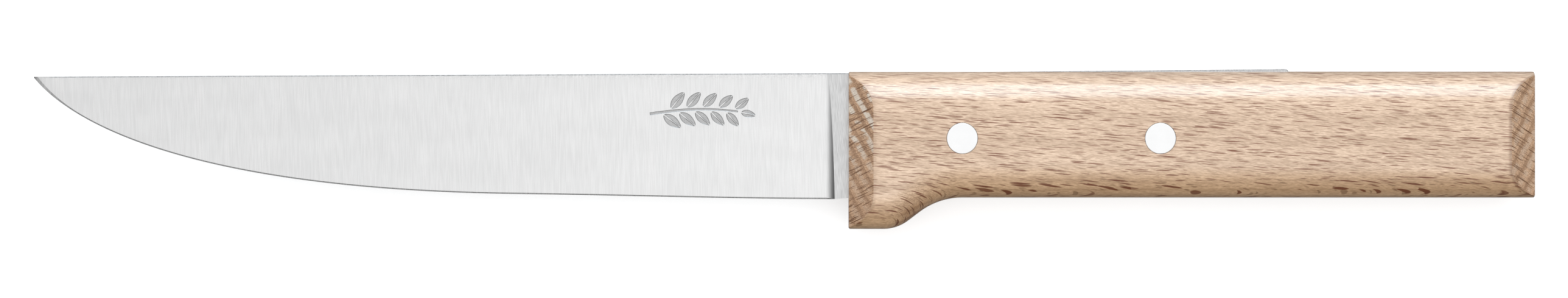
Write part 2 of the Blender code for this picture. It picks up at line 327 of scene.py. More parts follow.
def object_mm(tree):
    """Position on the object, in millimetres."""
    place = add(tree, "TexCoord", {}, "Object")
    return vector_node(tree, "SCALE", place, (0, 0, 0), (0, 0, 0), 1 / MM)


def along_axes(tree, place, directions):
    """The place measured along three directions."""
    parts = {axis: dot(tree, place, direction) for axis, direction in zip("XYZ", directions)}
    return add(tree, "CombineXYZ", parts)


def noise(tree, place, period, detail=2.0, roughness=0.5, shift=0.0):
    """Noise whose features are about one period long along each axis, as a value about 0.5.

    The shift only moves the pattern, so that two noises don't look alike.
    """
    scaled = vector_node(tree, "MULTIPLY", place, tuple(1 / p for p in period))
    moved = vector_node(tree, "ADD", scaled, (shift, shift, shift))
    inputs = {"Vector": moved, "Scale": 1.0, "Detail": detail, "Roughness": roughness}
    return add(tree, "TexNoise", inputs)


def bump(tree, shader, height, strength, depth_mm):
    inputs = {"Strength": strength, "Distance": depth_mm * MM, "Height": height}
    feed(tree, shader.inputs["Normal"], add(tree, "Bump", inputs))


# ------------------------------------------------------------- materials

# Sizes of a pattern's features are in millimetres, along three axes.

NOISE_SPAN = (0.3, 0.7)  # most of a noise's values lie between these

BRUSH_SKEW = 9.0  # staggers the long cells of the brushing
MOTTLE_SIZE = (14.0, 5.0, 14.0)
MOTTLE_SPREAD = 0.015
ROUGHNESS_SPREAD = 0.04
SHADED_TURN = (0.0, 0.75)  # how far a shaded face's normal turns to X, from unshaded to fully shaded


def steel(name, tone, spread, roughness, line, streak, depth_mm, tip_darkening=0.0, shade=0.0):
    """Steel brushed across the blade: fine lines along Y, broader streaks and a little mottling.

    line and streak are the sizes of one of each. The steel can also be made darker towards the tip, and
    shade is how much it darkens where it turns towards X.
    """
    material, tree, shader = new_material(name, Metallic=1.0, Roughness=roughness)
    place = object_mm(tree)
    skewed = along_axes(tree, place, ((1, 0, 0), (BRUSH_SKEW, 1, 0), (0, 0, 1)))
    lines = noise(tree, skewed, line)
    streaks = noise(tree, skewed, streak, shift=7.0)
    mottle = noise(tree, place, MOTTLE_SIZE, detail=3.0, shift=3.0)
    light = times(tree,
                  between(tree, lines, NOISE_SPAN, to=(tone - spread, tone + spread)),
                  between(tree, streaks, NOISE_SPAN, to=(1 - spread / 2, 1 + spread / 2)),
                  between(tree, mottle, NOISE_SPAN, to=(1 - MOTTLE_SPREAD, 1 + MOTTLE_SPREAD)))
    if tip_darkening:
        light = times(tree, light, blade_tone(tree, place, tip_darkening))
    if shade:
        turn = math_node(tree, "ABSOLUTE", axis_of(tree, add(tree, "TexCoord", {}, "Normal"), "X"))
        light = times(tree, light, between(tree, turn, SHADED_TURN, to=(1.0, 1 - shade)))
    feed(tree, shader.inputs["Base Color"], grey(tree, light))
    roughnesses = (roughness - ROUGHNESS_SPREAD, roughness + ROUGHNESS_SPREAD)
    feed(tree, shader.inputs["Roughness"], between(tree, streaks, NOISE_SPAN, to=roughnesses))
    bump(tree, shader, lines, 0.5, depth_mm)
    return material


DARKEST_X = -135.0  # near the tip, where the steel is darkest
BRIGHT_X = 0.0
SPINE_SPECKLE_SIZE = (0.3, 0.24, 0.3)
SPINE_SPECKLE_DEPTHS = (1.7, 0.3)  # below the spine, where the speckle starts and where it is full
SPINE_SPECKLE_MIDDLE = 0.58  # the noise value that neither lightens nor darkens
SPINE_SPECKLE_STRENGTH = 0.5


def blade_tone(tree, place, amount):
    """The steel darkens towards the tip, and the last millimetres under the spine are speckled."""
    x = axis_of(tree, place, "X")
    along = add(tree, "MapRange", {"Value": x, "From Min": DARKEST_X, "From Max": BRIGHT_X,
                                   "To Min": 1 - amount, "To Max": 1 + amount / 2})
    spine_y = REFERENCE.y / MM + SPINE_HEEL_V
    span = [spine_y - depth for depth in SPINE_SPECKLE_DEPTHS]
    near_spine = between(tree, axis_of(tree, place, "Y"), span)
    speckle = noise(tree, place, SPINE_SPECKLE_SIZE, shift=13.0)
    speckle = times(tree, math_node(tree, "SUBTRACT", speckle, SPINE_SPECKLE_MIDDLE), near_spine)
    return times(tree, along, math_node(tree, "MULTIPLY_ADD", speckle, SPINE_SPECKLE_STRENGTH, 1.0))


def blade_steels():
    """The blade's steels, in the order of its material indices."""
    return [
        steel("ground_steel", tone=0.695, spread=0.03, roughness=0.3,
              line=(0.2, 5.0, 5.0), streak=(1.2, 20.0, 20.0), depth_mm=0.0015, tip_darkening=0.08),
        steel("sheet_steel", tone=0.58, spread=0.08, roughness=0.34,
              line=(0.16, 1.6, 1.6), streak=(0.9, 12.0, 12.0), depth_mm=0.004),
        sheared_steel(),
        steel("honed_steel", tone=0.42, spread=0.08, roughness=0.28,
              line=(0.12, 2.0, 2.0), streak=(0.6, 6.0, 6.0), depth_mm=0.002),
        stamped_steel(),
        steel("plunge_steel", tone=0.72, spread=0.035, roughness=0.36,
              line=(0.2, 2.4, 2.4), streak=(0.7, 12.0, 12.0), depth_mm=0.002, shade=0.64),
    ]


SHEARED_GRAIN_SIZE = (0.25, 0.25, 0.5)
DRAG_MARK_SIZE = (0.6, 3.0, 3.0)
STAMPED_GRAIN_SIZE = (0.15, 0.15, 0.15)


def sheared_steel():
    """The stamped edge of the sheet: dull, with short drag marks and dark pits."""
    material, tree, shader = new_material("sheared_steel", Metallic=1.0, Roughness=0.5)
    place = object_mm(tree)
    grain = noise(tree, place, SHEARED_GRAIN_SIZE, detail=4.0, roughness=0.7)
    drag = noise(tree, place, DRAG_MARK_SIZE, shift=5.0)
    pits = between(tree, grain, (0.3, 0.65), to=(0.35, 0.7))
    marks = between(tree, drag, (0.3, 0.6), to=(0.8, 1.0))
    feed(tree, shader.inputs["Base Color"], grey(tree, times(tree, pits, marks)))
    bump(tree, shader, grain, 0.6, 0.02)
    return material


def stamped_steel():
    """The floor and walls of the stamped mark."""
    material, tree, shader = new_material("stamped_steel", Metallic=1.0, Roughness=0.42)
    grain = noise(tree, object_mm(tree), STAMPED_GRAIN_SIZE, detail=3.0)
    feed(tree, shader.inputs["Base Color"], grey(tree, between(tree, grain, NOISE_SPAN, to=(0.41, 0.54))))
    bump(tree, shader, grain, 0.4, 0.005)
    return material


SANDING_LINE_SIZE = (4.0, 0.12, 4.0)
RIVET_PATCH_SIZE = (2.0, 2.0, 2.0)


def rivet_metal():
    """Aluminium faced off flush: almost white, with faint lines from the sanding belt."""
    material, tree, shader = new_material("rivet_metal", Metallic=1.0, Roughness=0.4)
    place = object_mm(tree)
    lines = noise(tree, place, SANDING_LINE_SIZE, detail=3.0)
    patches = noise(tree, place, RIVET_PATCH_SIZE, shift=2.0)
    light = between(tree, lines, NOISE_SPAN, to=(0.86, 0.895))
    light = math_node(tree, "ADD", light, between(tree, patches, NOISE_SPAN, to=(-0.01, 0.01)))
    feed(tree, shader.inputs["Base Color"], grey(tree, light))
    feed(tree, shader.inputs["Roughness"], between(tree, lines, NOISE_SPAN, to=(0.34, 0.46)))
    bump(tree, shader, lines, 0.3, 0.004)
    return material


# Directions in the block of beech: along the grain, along the rays and across the rays.
GRAIN_FALL = math.radians(3.3)
RAY_TILT = math.radians(29.0)
ALONG = Vector((math.cos(GRAIN_FALL), -math.sin(GRAIN_FALL), 0))
RADIAL = Vector((0, math.sin(RAY_TILT), math.cos(RAY_TILT)))
ACROSS = RADIAL.cross(ALONG).normalized()

WOOD_SKEW = 3.7  # staggers the long cells of the wood's patterns
SWAY_SCALE = 0.045  # the grain wanders over some 22 mm
SWAY = (0.0, 1.2, 1.2)  # by up to about half of this, in millimetres

WOOD = (0.725, 0.512, 0.354)
RAY_COLOUR = (0.2, 0.047, 0.001)
END_RAY_COLOUR = (0.15, 0.055, 0.012)
END_TINT = (1.07, 0.97, 0.87)
DOWNWARD_SHADE_TINT = (0.98, 0.87, 0.69)
# Tint of the painted shade on the faces that turn down towards the belly.
PALE_RING = (0.84, 0.74, 0.62)

# Sizes of the wood's features along the grain, across the rays and along the rays.
LONG_RAY_SIZE = (4.8, 0.2, 6.0)
MIDDLING_RAY_SIZE = (3.6, 0.17, 5.0)
SHORT_RAY_SIZE = (2.0, 0.13, 3.0)
RIPPLE_SIZE = (3.0, 0.2, 0.27)
THREAD_SIZE = (0.9, 0.11, 0.13)
FLAME_SIZE = (34.0, 2.8, 2.8)
PORE_SIZE = (0.4, 0.13, 0.13)
PALE_PATCH_SIZE = (5.0, 4.0, 2.5)
RING_WIDTH = 2.3
LEAST_RAY, RAY_SPREAD = 0.25, 0.32  # half width of a ray, as a share of its cell
FAINTEST_RAY, RAY_DEPTH_SPREAD = 0.7, 0.5  # how much of its colour a ray has, up to all of it
SHORT_RAY_TONE = -0.42  # added to the tone of 1 where a short ray lies

# Where the cut ends' look changes, in the wood's own axes.
FRONT_TO_BUTT = (40.0, 100.0)
LOW_TO_HIGH = (-14.0, -2.0)


def wood_place(tree, place):
    """Position in the wood, millimetres: x along the grain, y across the rays, z along the rays.

    x is skewed, so that the long cells of the patterns don't line up in columns.
    """
    straight = along_axes(tree, place, (ALONG + ACROSS * WOOD_SKEW, ACROSS, RADIAL))
    sway = add(tree, "TexNoise", {"Vector": straight, "Scale": SWAY_SCALE, "Detail": 2.0}, "Color")
    sway = vector_node(tree, "SUBTRACT", sway, (0.5, 0.5, 0.5))
    return vector_node(tree, "ADD", straight, vector_node(tree, "MULTIPLY", sway, SWAY))


def wood_rays(tree, place, size, kept, shift, softness):
    """Lens-shaped rays, in a share of the cells of a grid of that size."""
    scaled = vector_node(tree, "MULTIPLY", place, tuple(1 / s for s in size))
    moved = vector_node(tree, "ADD", scaled, (shift, shift, shift))
    cells = tree.nodes.new("ShaderNodeTexVoronoi")
    cells.distance = "MINKOWSKI"
    feed(tree, cells.inputs["Vector"], moved)
    feed(tree, cells.inputs["Scale"], 1.0)
    feed(tree, cells.inputs["Exponent"], 1.5)
    chances = [add(tree, "SeparateColor", {"Color": cells.outputs["Color"]}, channel)
               for channel in ("Red", "Green", "Blue")]
    present = math_node(tree, "LESS_THAN", chances[0], kept)
    radius = math_node(tree, "MULTIPLY_ADD", chances[1], RAY_SPREAD, LEAST_RAY)
    inside = math_node(tree, "SUBTRACT", radius, cells.outputs["Distance"])
    inside = math_node(tree, "DIVIDE", inside, softness, clamp=True)
    depth = math_node(tree, "MULTIPLY_ADD", chances[2], RAY_DEPTH_SPREAD, FAINTEST_RAY, clamp=True)
    return times(tree, inside, present, depth)


def toned(tree, colour, tone):
    """A wood colour made lighter or darker as varnished wood is: green and blue change more than red."""
    green = math_node(tree, "POWER", tone, 1.2)
    blue = math_node(tree, "POWER", tone, 1.42)
    return tinted(tree, colour, add(tree, "CombineColor", {"Red": tone, "Green": green, "Blue": blue}))


CREASE_WIDTH = 0.9
CREASE_FULL = 0.15  # how close to the crease the varnish is darkest
CREASE_REACH = (-30.0, 30.0)  # from the front's strength to the butt's, about the handle's middle
CREASE_STRENGTH = (-0.15, -0.42)


def crease_tone(tree, position, end_grain):
    """Darker varnish on the sides along the end facets' creases, mostly at the butt."""
    middle = (HANDLE_LOW + HANDLE_HIGH) / 2 / MM
    offset = vector_node(tree, "SUBTRACT", position, tuple(middle))
    mirrored = vector_node(tree, "ABSOLUTE", offset)
    reach = math_node(tree, "ADD", axis_of(tree, mirrored, "X"), axis_of(tree, mirrored, "Z"))
    crease = HANDLE_LENGTH / 2 + END_FACE_HALF
    rise = between(tree, reach, (crease - CREASE_WIDTH, crease - CREASE_FULL))
    on_side = math_node(tree, "SUBTRACT", 1.0, end_grain)
    strength = between(tree, axis_of(tree, offset, "X"), CREASE_REACH, to=CREASE_STRENGTH)
    return math_node(tree, "MULTIPLY_ADD", times(tree, rise, on_side), strength, 1.0)


def cut_end(tree, place, base, ring, late_wood):
    """Colour of the cut ends: open pores, and pale early wood in patches, most at the front and top."""
    pores = noise(tree, place, PORE_SIZE, detail=1.0, shift=5.0)
    patches = noise(tree, place, PALE_PATCH_SIZE, detail=1.0, shift=23.0)
    along = axis_of(tree, place, "X")
    pale = times(tree,
                 between(tree, ring, (0.14, 0.3)),
                 between(tree, ring, (0.74, 0.56)),
                 between(tree, patches, (0.38, 0.52)),
                 between(tree, along, FRONT_TO_BUTT, to=(1.0, 0.25)),
                 between(tree, axis_of(tree, place, "Y"), LOW_TO_HIGH, to=(0.15, 1.0)),
                 between(tree, pores, (0.3, 0.55), to=(0.3, 1.0)))
    tone = times(tree,
                 between(tree, pores, (0.32, 0.68), to=(0.55, 0.95)),
                 between(tree, late_wood, (0.0, 1.0), to=(1.05, 0.85)),
                 between(tree, along, FRONT_TO_BUTT, to=(0.92, 1.04)))
    return blend(tree, pale, toned(tree, tinted(tree, base, END_TINT), tone), PALE_RING)


def beech():
    """Varnished beech as a solid: rays, growth rings, fibres and pores run on through every face."""
    material, tree, shader = new_material("beech", Roughness=0.45, Specular_IOR_Level=0.5,
                                          Coat_Weight=1.0, Coat_Roughness=0.25, Coat_IOR=1.65)
    position = object_mm(tree)
    place = wood_place(tree, position)
    normal = add(tree, "TexCoord", {}, "Normal")
    end_grain = between(tree, math_node(tree, "ABSOLUTE", dot(tree, normal, ALONG)), (0.25, 0.7))
    # Painted shade: faces turned down towards the belly get a darker, deeper brown tint.
    downward_shade = between(tree, dot(tree, normal, -ACROSS), (0.4, 1.0))

    long_rays = math_node(tree, "MAXIMUM",
                          wood_rays(tree, place, LONG_RAY_SIZE, kept=0.36, shift=3.0, softness=0.06),
                          wood_rays(tree, place, MIDDLING_RAY_SIZE, kept=0.3, shift=47.0, softness=0.07))
    short_rays = wood_rays(tree, place, SHORT_RAY_SIZE, kept=0.36, shift=31.0, softness=0.1)
    ripples = noise(tree, place, RIPPLE_SIZE, roughness=0.6)
    threads = noise(tree, place, THREAD_SIZE, shift=19.0)
    flame = noise(tree, place, FLAME_SIZE, shift=11.0)
    ring = math_node(tree, "FRACT", math_node(tree, "DIVIDE", axis_of(tree, place, "Z"), RING_WIDTH))
    late_wood = times(tree, between(tree, ring, (0.35, 0.95)), between(tree, ring, (1.0, 0.95)))

    tone = times(tree,
                 between(tree, ripples, (0.38, 0.6), to=(0.84, 1.09)),
                 between(tree, threads, (0.38, 0.62), to=(0.89, 1.12)),
                 between(tree, flame, NOISE_SPAN, to=(1.06, 0.92)),
                 between(tree, late_wood, (0.0, 1.0), to=(1.03, 0.93)),
                 math_node(tree, "MULTIPLY_ADD", short_rays, SHORT_RAY_TONE, 1.0),
                 crease_tone(tree, position, end_grain))
    base = toned(tree, WOOD, tone)
    base = blend(tree, end_grain, base, cut_end(tree, place, base, ring, late_wood))
    base = blend(tree, downward_shade, base, tinted(tree, base, DOWNWARD_SHADE_TINT))
    base = blend(tree, long_rays, base, blend(tree, end_grain, RAY_COLOUR, END_RAY_COLOUR))
    feed(tree, shader.inputs["Base Color"], base)

    rough = between(tree, ripples, NOISE_SPAN, to=(0.5, 0.4))
    feed(tree, shader.inputs["Roughness"], math_node(tree, "MULTIPLY_ADD", end_grain, 0.2, rough))
    relief = math_node(tree, "MULTIPLY", threads, 0.5)
    relief = math_node(tree, "MULTIPLY_ADD", long_rays, -0.35, relief)
    relief = math_node(tree, "MULTIPLY_ADD", ripples, 0.6, relief)
    bump(tree, shader, relief, 0.4, 0.03)
    return material


# ----------------------------------------------------------------- blade

GROUND, SHEET, SHEARED, HONED, STAMPED, PLUNGE = range(6)
SECTION_ROWS = 14
BELLY_COLUMNS = 110
HEEL_COLUMNS = 40
PLUNGE_COLUMNS = 10
CORNER_COLUMNS = 10
TIP_CROWDING = 1.3  # over 1, the belly's columns stand closer together near the tip
PLUNGE_GAP = 0.2  # between the edge's last column and the plunge
RICASSO_END = -1.5  # the sheet's first column behind the plunge
BLADE_SMOOTH_ANGLE = 12


def spine_v(u):
    if u > 0:
        return SPINE_HEEL_V + TANG_RISE * u
    return SPINE_HEEL_V + SPINE_DROP * u / BLADE_LENGTH


def ground_half(v):
    """Half thickness of the flat ground face, one plane behind TAPER_START."""
    return GRIND_TOP_HALF + GRIND_SLOPE * (v - SPINE_HEEL_V)


def bevel_height(u, height, slope):
    """Height of the honed bevel in the side view; its width is measured across the edge."""
    share = max(0.0, 1 - (u + BLADE_LENGTH) / BEVEL_WIDENING)
    width = mix(BEVEL_WIDTH, TIP_BEVEL_WIDTH, share**2)
    return min(width * math.hypot(1, slope), height * BEVEL_LIMIT)


def edge_points():
    """(u, v, slope) along the cutting edge, from the tip to the plunge."""
    tip = (-BLADE_LENGTH, spine_v(-BLADE_LENGTH) - TIP_HEIGHT)
    belly = (tip, *BELLY_PULLS, BELLY_END)
    heel = (BELLY_END, *EDGE_PULLS, HEEL_EDGE)
    points = [bezier(belly, t**TIP_CROWDING) for t in shares(BELLY_COLUMNS)[:-1]]
    points += [bezier(heel, t) for t in shares(HEEL_COLUMNS)[:-1]]
    points = [p for p in points if p[0] < PLUNGE_START - PLUNGE_GAP]
    slopes = [(b[1] - a[1]) / (b[0] - a[0]) for a, b in zip(points, points[1:])]
    return [(u, v, slope) for (u, v), slope in zip(points, slopes + slopes[-1:])]


def ground_column(u, edge_v, slope=0.0):
    """Points (u, v, half thickness) down one ground face, from the spine's chamfer to the bevel."""
    top_v = spine_v(u)
    height = top_v - edge_v
    rounding = min(SPINE_ROUNDING, height * SPINE_ROUNDING_LIMIT)
    bevel_v = edge_v + bevel_height(u, height, slope)
    share = max(0.0, (TAPER_START - u) / (BLADE_LENGTH + TAPER_START))
    top_half = mix(ground_half(top_v), TIP_HALF, share**2)
    bevel_half = mix(ground_half(BELLY_END[1] + BEVEL_WIDTH), top_half, ((bevel_v - edge_v) / height) ** 2)
    column = [(u, top_v, top_half - rounding * SPINE_ROUNDING_ACROSS / SPINE_ROUNDING)]
    for t in shares(SECTION_ROWS):
        column.append((u, mix(top_v - rounding, bevel_v, t), mix(top_half, bevel_half, t)))
    return column


def plunge_column(share):
    """Points where the grind curves up to the ricasso, along an arc tangent to the grind."""
    column = []
    for _, v, half in ground_column(PLUNGE_START, HEEL_EDGE[1]):
        depth = SHEET_HALF - half
        full_turn = math.acos(max(-1.0, 1 - depth / PLUNGE_RADIUS))
        turn = full_turn * share
        rise = PLUNGE_RADIUS * (1 - math.cos(turn))
        column.append((PLUNGE_START + PLUNGE_RADIUS * math.sin(turn), v, half + rise))
    _, top_v, _ = column[0]
    column[0] = (column[1][0], top_v, column[1][2] - SPINE_ROUNDING_ACROSS)
    last_u, last_v, last_half = column[-1]
    column[-1] = (last_u, mix(last_v, HEEL_EDGE[1], share), last_half)
    return column


def sheet_column(u, top_v, bottom_v):
    column = [(u, top_v, SHEET_HALF - SPINE_ROUNDING_ACROSS)]
    return column + [(u, mix(top_v - SPINE_ROUNDING, bottom_v, t), SHEET_HALF) for t in shares(SECTION_ROWS)]


def tang_bottom(u):
    if u <= TANG_FULL_DEPTH_END:
        return RICASSO_BOTTOM_V
    share = min(1.0, (u - TANG_FULL_DEPTH_END) / (TANG_STEP_END - TANG_FULL_DEPTH_END))
    return mix(RICASSO_BOTTOM_V, -TANG_DEPTH, (1 - math.cos(math.pi * share)) / 2)


def corner_fall(u, corner_u, radius):
    into = max(0.0, u - (corner_u - radius))
    return radius - math.sqrt(max(0.0, radius**2 - into**2))


def tang_columns():
    """(u, top v, bottom v) from just in front of the handle to the end of the tang."""
    steps = shares(CORNER_COLUMNS)
    places = [RICASSO_END, 0.0] + [mix(TANG_FULL_DEPTH_END, TANG_STEP_END, t) for t in steps]
    places += [mix(TANG_STEP_END, TANG_LENGTH - TANG_BOTTOM_RADIUS, t) for t in steps]
    for radius in (TANG_BOTTOM_RADIUS, TANG_TOP_RADIUS):
        places += [TANG_LENGTH - radius + radius * math.sin(t * math.pi / 2) for t in steps]
    columns = []
    for u in sorted(set(round(place, 6) for place in places)):
        top = spine_v(u) - corner_fall(u, TANG_LENGTH, TANG_TOP_RADIUS)
        bottom = tang_bottom(u) + corner_fall(u, TANG_LENGTH, TANG_BOTTOM_RADIUS)
        columns.append((u, top, bottom))
    return columns


def blade_columns():
    """(points down one side, foot point, material of the side, material below it) in order."""
    columns = [(ground_column(*point), point[:2], GROUND, HONED) for point in edge_points()]
    for share in shares(PLUNGE_COLUMNS):
        column = plunge_column(share)
        side = SHEET if share == 1 else PLUNGE
        columns.append((column, (column[-1][0], HEEL_EDGE[1]), side, HONED if share < 1 else SHEARED))
    for u, top, bottom in tang_columns():
        foot_v = mix(HEEL_EDGE[1], RICASSO_BOTTOM_V, 0.5) if u < 0 else bottom
        columns.append((sheet_column(u, top, foot_v), (u, foot_v), SHEET, SHEARED))
    return columns


def make_blade(materials):
    bm = bmesh.new()
    rings = []
    strips = []
    for side, (foot_u, foot_v), side_material, foot_material in blade_columns():
        right = [bm.verts.new(world(u, v, w)) for u, v, w in side]
        left = [bm.verts.new(world(u, v, -w)) for u, v, w in side]
        rings.append(right + [bm.verts.new(world(foot_u, foot_v, 0))] + left[::-1])
        half = [SHEARED] + [side_material] * SECTION_ROWS + [foot_material]
        strips.append(half + half[::-1] + [SHEARED])
    for ring, following, strip in zip(rings, rings[1:], strips):
        join_rings(bm, ring, following, strip)
    close_halves(bm, rings[0], GROUND)
    close_halves(bm, rings[-1], SHEARED)
    blade = finish(bm, "ground_blade", materials)
    cutters = [mark_cutter(materials[STAMPED])]
    for place, centre in RIVETS.items():
        bore = SLEEVE_RADIUS + BORE_CLEARANCE
        hole = turned([(bore, CUTTER_REACH), (bore, -CUTTER_REACH)], centre)
        cutters.append(finish(hole, f"{place}_tang_hole"))
    carve(blade, cutters, BLADE_SMOOTH_ANGLE)
    return blade


# The stamped mark, a plain leafy twig: places and sizes in the ground face, millimetres.
MARK_U = -39.0
MARK_V = -7.6
MARK_LENGTH = 20.0
MARK_DEPTH = 0.11
MARK_DRAFT = 0.13
MARK_CUTTER_HEIGHT = 0.2
STEM_WIDTH = 0.5
STEM_SHARE = 0.86  # of the mark's length
STEM_BEND = 0.9
STEM_BEND_TURN = 2.6
STEM_DROP = 0.7
STEM_TAPER = 0.55
STEM_STEPS = 16
STEM_STEP = 0.01  # for the stem's direction
LEAVES = 10
FIRST_LEAF, LAST_LEAF = 0.12, 0.94  # shares of the stem
LEAF_LENGTHS = (4.6, 3.4)
LEAF_ANGLE = 44.0
LEAF_GAP = 0.42
LEAF_STEPS = 14
LEAF_ENDS = (0.04, 0.96)
LEAF_WIDTH_SHARE = 0.19
LEAF_FULLNESS = 0.85
MIDRIB_HALF = 0.11
END_LEAF_ANGLE = -6.0
END_LEAF_LENGTH = 3.0


def stem_point(t):
    """Middle line of the twig's stem, in the mark's own x and y."""
    return Vector((MARK_LENGTH * STEM_SHARE * t, STEM_BEND * math.sin(STEM_BEND_TURN * t) - STEM_DROP))


def stem_direction(t):
    return (stem_point(t + STEM_STEP) - stem_point(t - STEM_STEP)).normalized()


def leaf_outline(root, angle, length, side):
    """One half of a leaf, on one side of its uncut midrib."""
    forward = Vector((math.cos(angle), math.sin(angle))) * length
    across = Vector((-math.sin(angle), math.cos(angle))) * side
    start, end = LEAF_ENDS
    points = [root + forward * t + across * MIDRIB_HALF for t in (start, 0.5, end)]
    for t in shares(LEAF_STEPS)[1:-1]:
        bulge = math.sin(math.pi * (1 - t) ** LEAF_FULLNESS) ** LEAF_FULLNESS
        reach = MIDRIB_HALF + length * LEAF_WIDTH_SHARE * bulge
        points.append(root + forward * mix(end, start, t) + across * reach)
    return points


def mark_outlines():
    """Closed outlines of every stamped stroke: the stem and both halves of each leaf."""
    upper, lower = [], []
    for t in shares(STEM_STEPS):
        tangent = stem_direction(t)
        normal = Vector((-tangent.y, tangent.x)) * STEM_WIDTH / 2 * mix(1.0, STEM_TAPER, t)
        upper.append(stem_point(t) + normal)
        lower.append(stem_point(t) - normal)
    outlines = [upper + lower[::-1]]
    leaves = []
    for i in range(LEAVES):
        t = mix(FIRST_LEAF, LAST_LEAF, i / (LEAVES - 1))
        leaves.append((t, LEAF_ANGLE if i % 2 else -LEAF_ANGLE, mix(*LEAF_LENGTHS, t)))
    leaves.append((1.0, END_LEAF_ANGLE, END_LEAF_LENGTH))
    for t, turn, length in leaves:
        tangent = stem_direction(min(t, 1 - STEM_STEP))
        angle = math.atan2(tangent.y, tangent.x) + math.radians(turn)
        gap = STEM_WIDTH / 2 + LEAF_GAP
        root = stem_point(t) + Vector((math.cos(angle), math.sin(angle))) * gap
        for side in (1, -1):
            outlines.append(leaf_outline(root, angle, length, side))
    return outlines


def widened(outline, amount):
    """Move an outline's points out along its corners' bisectors."""
    area = sum(a.cross(b) for a, b in zip(outline, outline[1:] + outline[:1]))
    turn = 1 if area > 0 else -1
    moved = []
    for i, point in enumerate(outline):
        ahead = (outline[(i + 1) % len(outline)] - point).normalized()
        behind = (point - outline[i - 1]).normalized()
        normal = (Vector((ahead.y, -ahead.x)) + Vector((behind.y, -behind.x))) * turn
        moved.append(point + normal.normalized() * amount)
    return moved


def mark_cutter(material):
    """Shallow strokes with sloping walls, standing in the ground face on the +Z side."""
    tilt = math.atan(GRIND_SLOPE)
    down_face = Vector((0, math.cos(tilt), math.sin(tilt)))
    out_of_face = Vector((0, -math.sin(tilt), math.cos(tilt)))
    origin = Vector((MARK_U, MARK_V, ground_half(MARK_V)))
    levels = ((MARK_CUTTER_HEIGHT, MARK_DRAFT * MARK_CUTTER_HEIGHT / MARK_DEPTH),
              (-MARK_DEPTH, -MARK_DRAFT / 2))
    bm = bmesh.new()
    for outline in mark_outlines():
        rings = []
        for height, spread in levels:
            points = widened(outline, spread)
            places = [origin + Vector((p.x, 0, 0)) + down_face * p.y + out_of_face * height for p in points]
            rings.append([bm.verts.new(world(*place)) for place in places])
        join_rings(bm, *rings)
        bm.faces.new(rings[0])
        bm.faces.new(rings[1])
    return finish(bm, "mark_cutter", [material])


# ---------------------------------------------------------------- handle

CROWN_POINTS = 44
SIDE_POINTS = 14
BELLY_POINTS = 36
FLAT_POINTS = 3
END_ARC_POINTS = 6
FACET_POINTS = 9
CORNER_POINTS = 8
END_ZONE = 5.8
GUARD_ZONE_END = 26.0
GUARD_PLACES = 50
GRIP_PLACES = 30
SLIVER = 0.015  # the shortest stretch between two places
CORNER_SPREAD = 1.5  # stretch of close points on each side of a facet's corner, in facet roundings
HANDLE_SMOOTH_ANGLE = 30


def guard_bottom(u):
    """Height and slope of the handle's underside: guard, convex arc, straight, concave arc, grip."""
    turn = 1 - math.cos(GUARD_ANGLE)
    grip_v = -HANDLE_HEIGHT
    arc_end_u = GUARD_CURVE_START + GUARD_CONVEX_RADIUS * math.sin(GUARD_ANGLE)
    arc_end_v = -GUARD_DEPTH + GUARD_CONVEX_RADIUS * turn
    straight_end_v = grip_v - GUARD_CONCAVE_RADIUS * turn
    straight_end_u = arc_end_u + (straight_end_v - arc_end_v) / math.tan(GUARD_ANGLE)
    curve_end_u = straight_end_u + GUARD_CONCAVE_RADIUS * math.sin(GUARD_ANGLE)
    if u <= GUARD_CURVE_START:
        return -GUARD_DEPTH, 0.0
    if u <= arc_end_u:
        slope = math.asin((u - GUARD_CURVE_START) / GUARD_CONVEX_RADIUS)
        return -GUARD_DEPTH + GUARD_CONVEX_RADIUS * (1 - math.cos(slope)), slope
    if u <= straight_end_u:
        return arc_end_v + (u - arc_end_u) * math.tan(GUARD_ANGLE), GUARD_ANGLE
    if u <= curve_end_u:
        slope = math.asin((curve_end_u - u) / GUARD_CONCAVE_RADIUS)
        return grip_v - GUARD_CONCAVE_RADIUS * (1 - math.cos(slope)), slope
    return grip_v, 0.0


def section_stations():
    """Where the points of half a section lie: which stretch, and how far along it."""
    stations = [("crown", t * math.pi / 2) for t in shares(CROWN_POINTS)]
    stations += [("side", t) for t in shares(SIDE_POINTS)[1:-1]]
    stations += [("belly", t * math.pi / 2) for t in shares(BELLY_POINTS)]
    stations += [("flat", t) for t in shares(FLAT_POINTS)[1:]]
    return stations


def section_point(station, u):
    """Point (v, w) of half a section and its outward normal there."""
    stretch, t = station
    share = u / HANDLE_LENGTH
    crown = mix(CROWN_DROP_FRONT, CROWN_DROP_BUTT, share)
    bottom, slope = guard_bottom(u)
    rise = mix(BELLY_RISE_FRONT, BELLY_RISE_BUTT, share) / math.cos(slope)
    width = HANDLE_HALF - BELLY_FLAT_HALF
    if stretch == "crown":
        normal = Vector((math.cos(t) / crown, math.sin(t) / HANDLE_HALF)).normalized()
        return -crown * (1 - math.cos(t)), HANDLE_HALF * math.sin(t), normal
    if stretch == "side":
        return mix(-crown, bottom + rise, t), HANDLE_HALF, Vector((0, 1))
    if stretch == "belly":
        normal = Vector((-math.sin(t) / rise, math.cos(t) / width)).normalized()
        return bottom + rise * (1 - math.sin(t)), BELLY_FLAT_HALF + width * math.cos(t), normal
    return bottom, BELLY_FLAT_HALF * (1 - t), Vector((-1, 0))


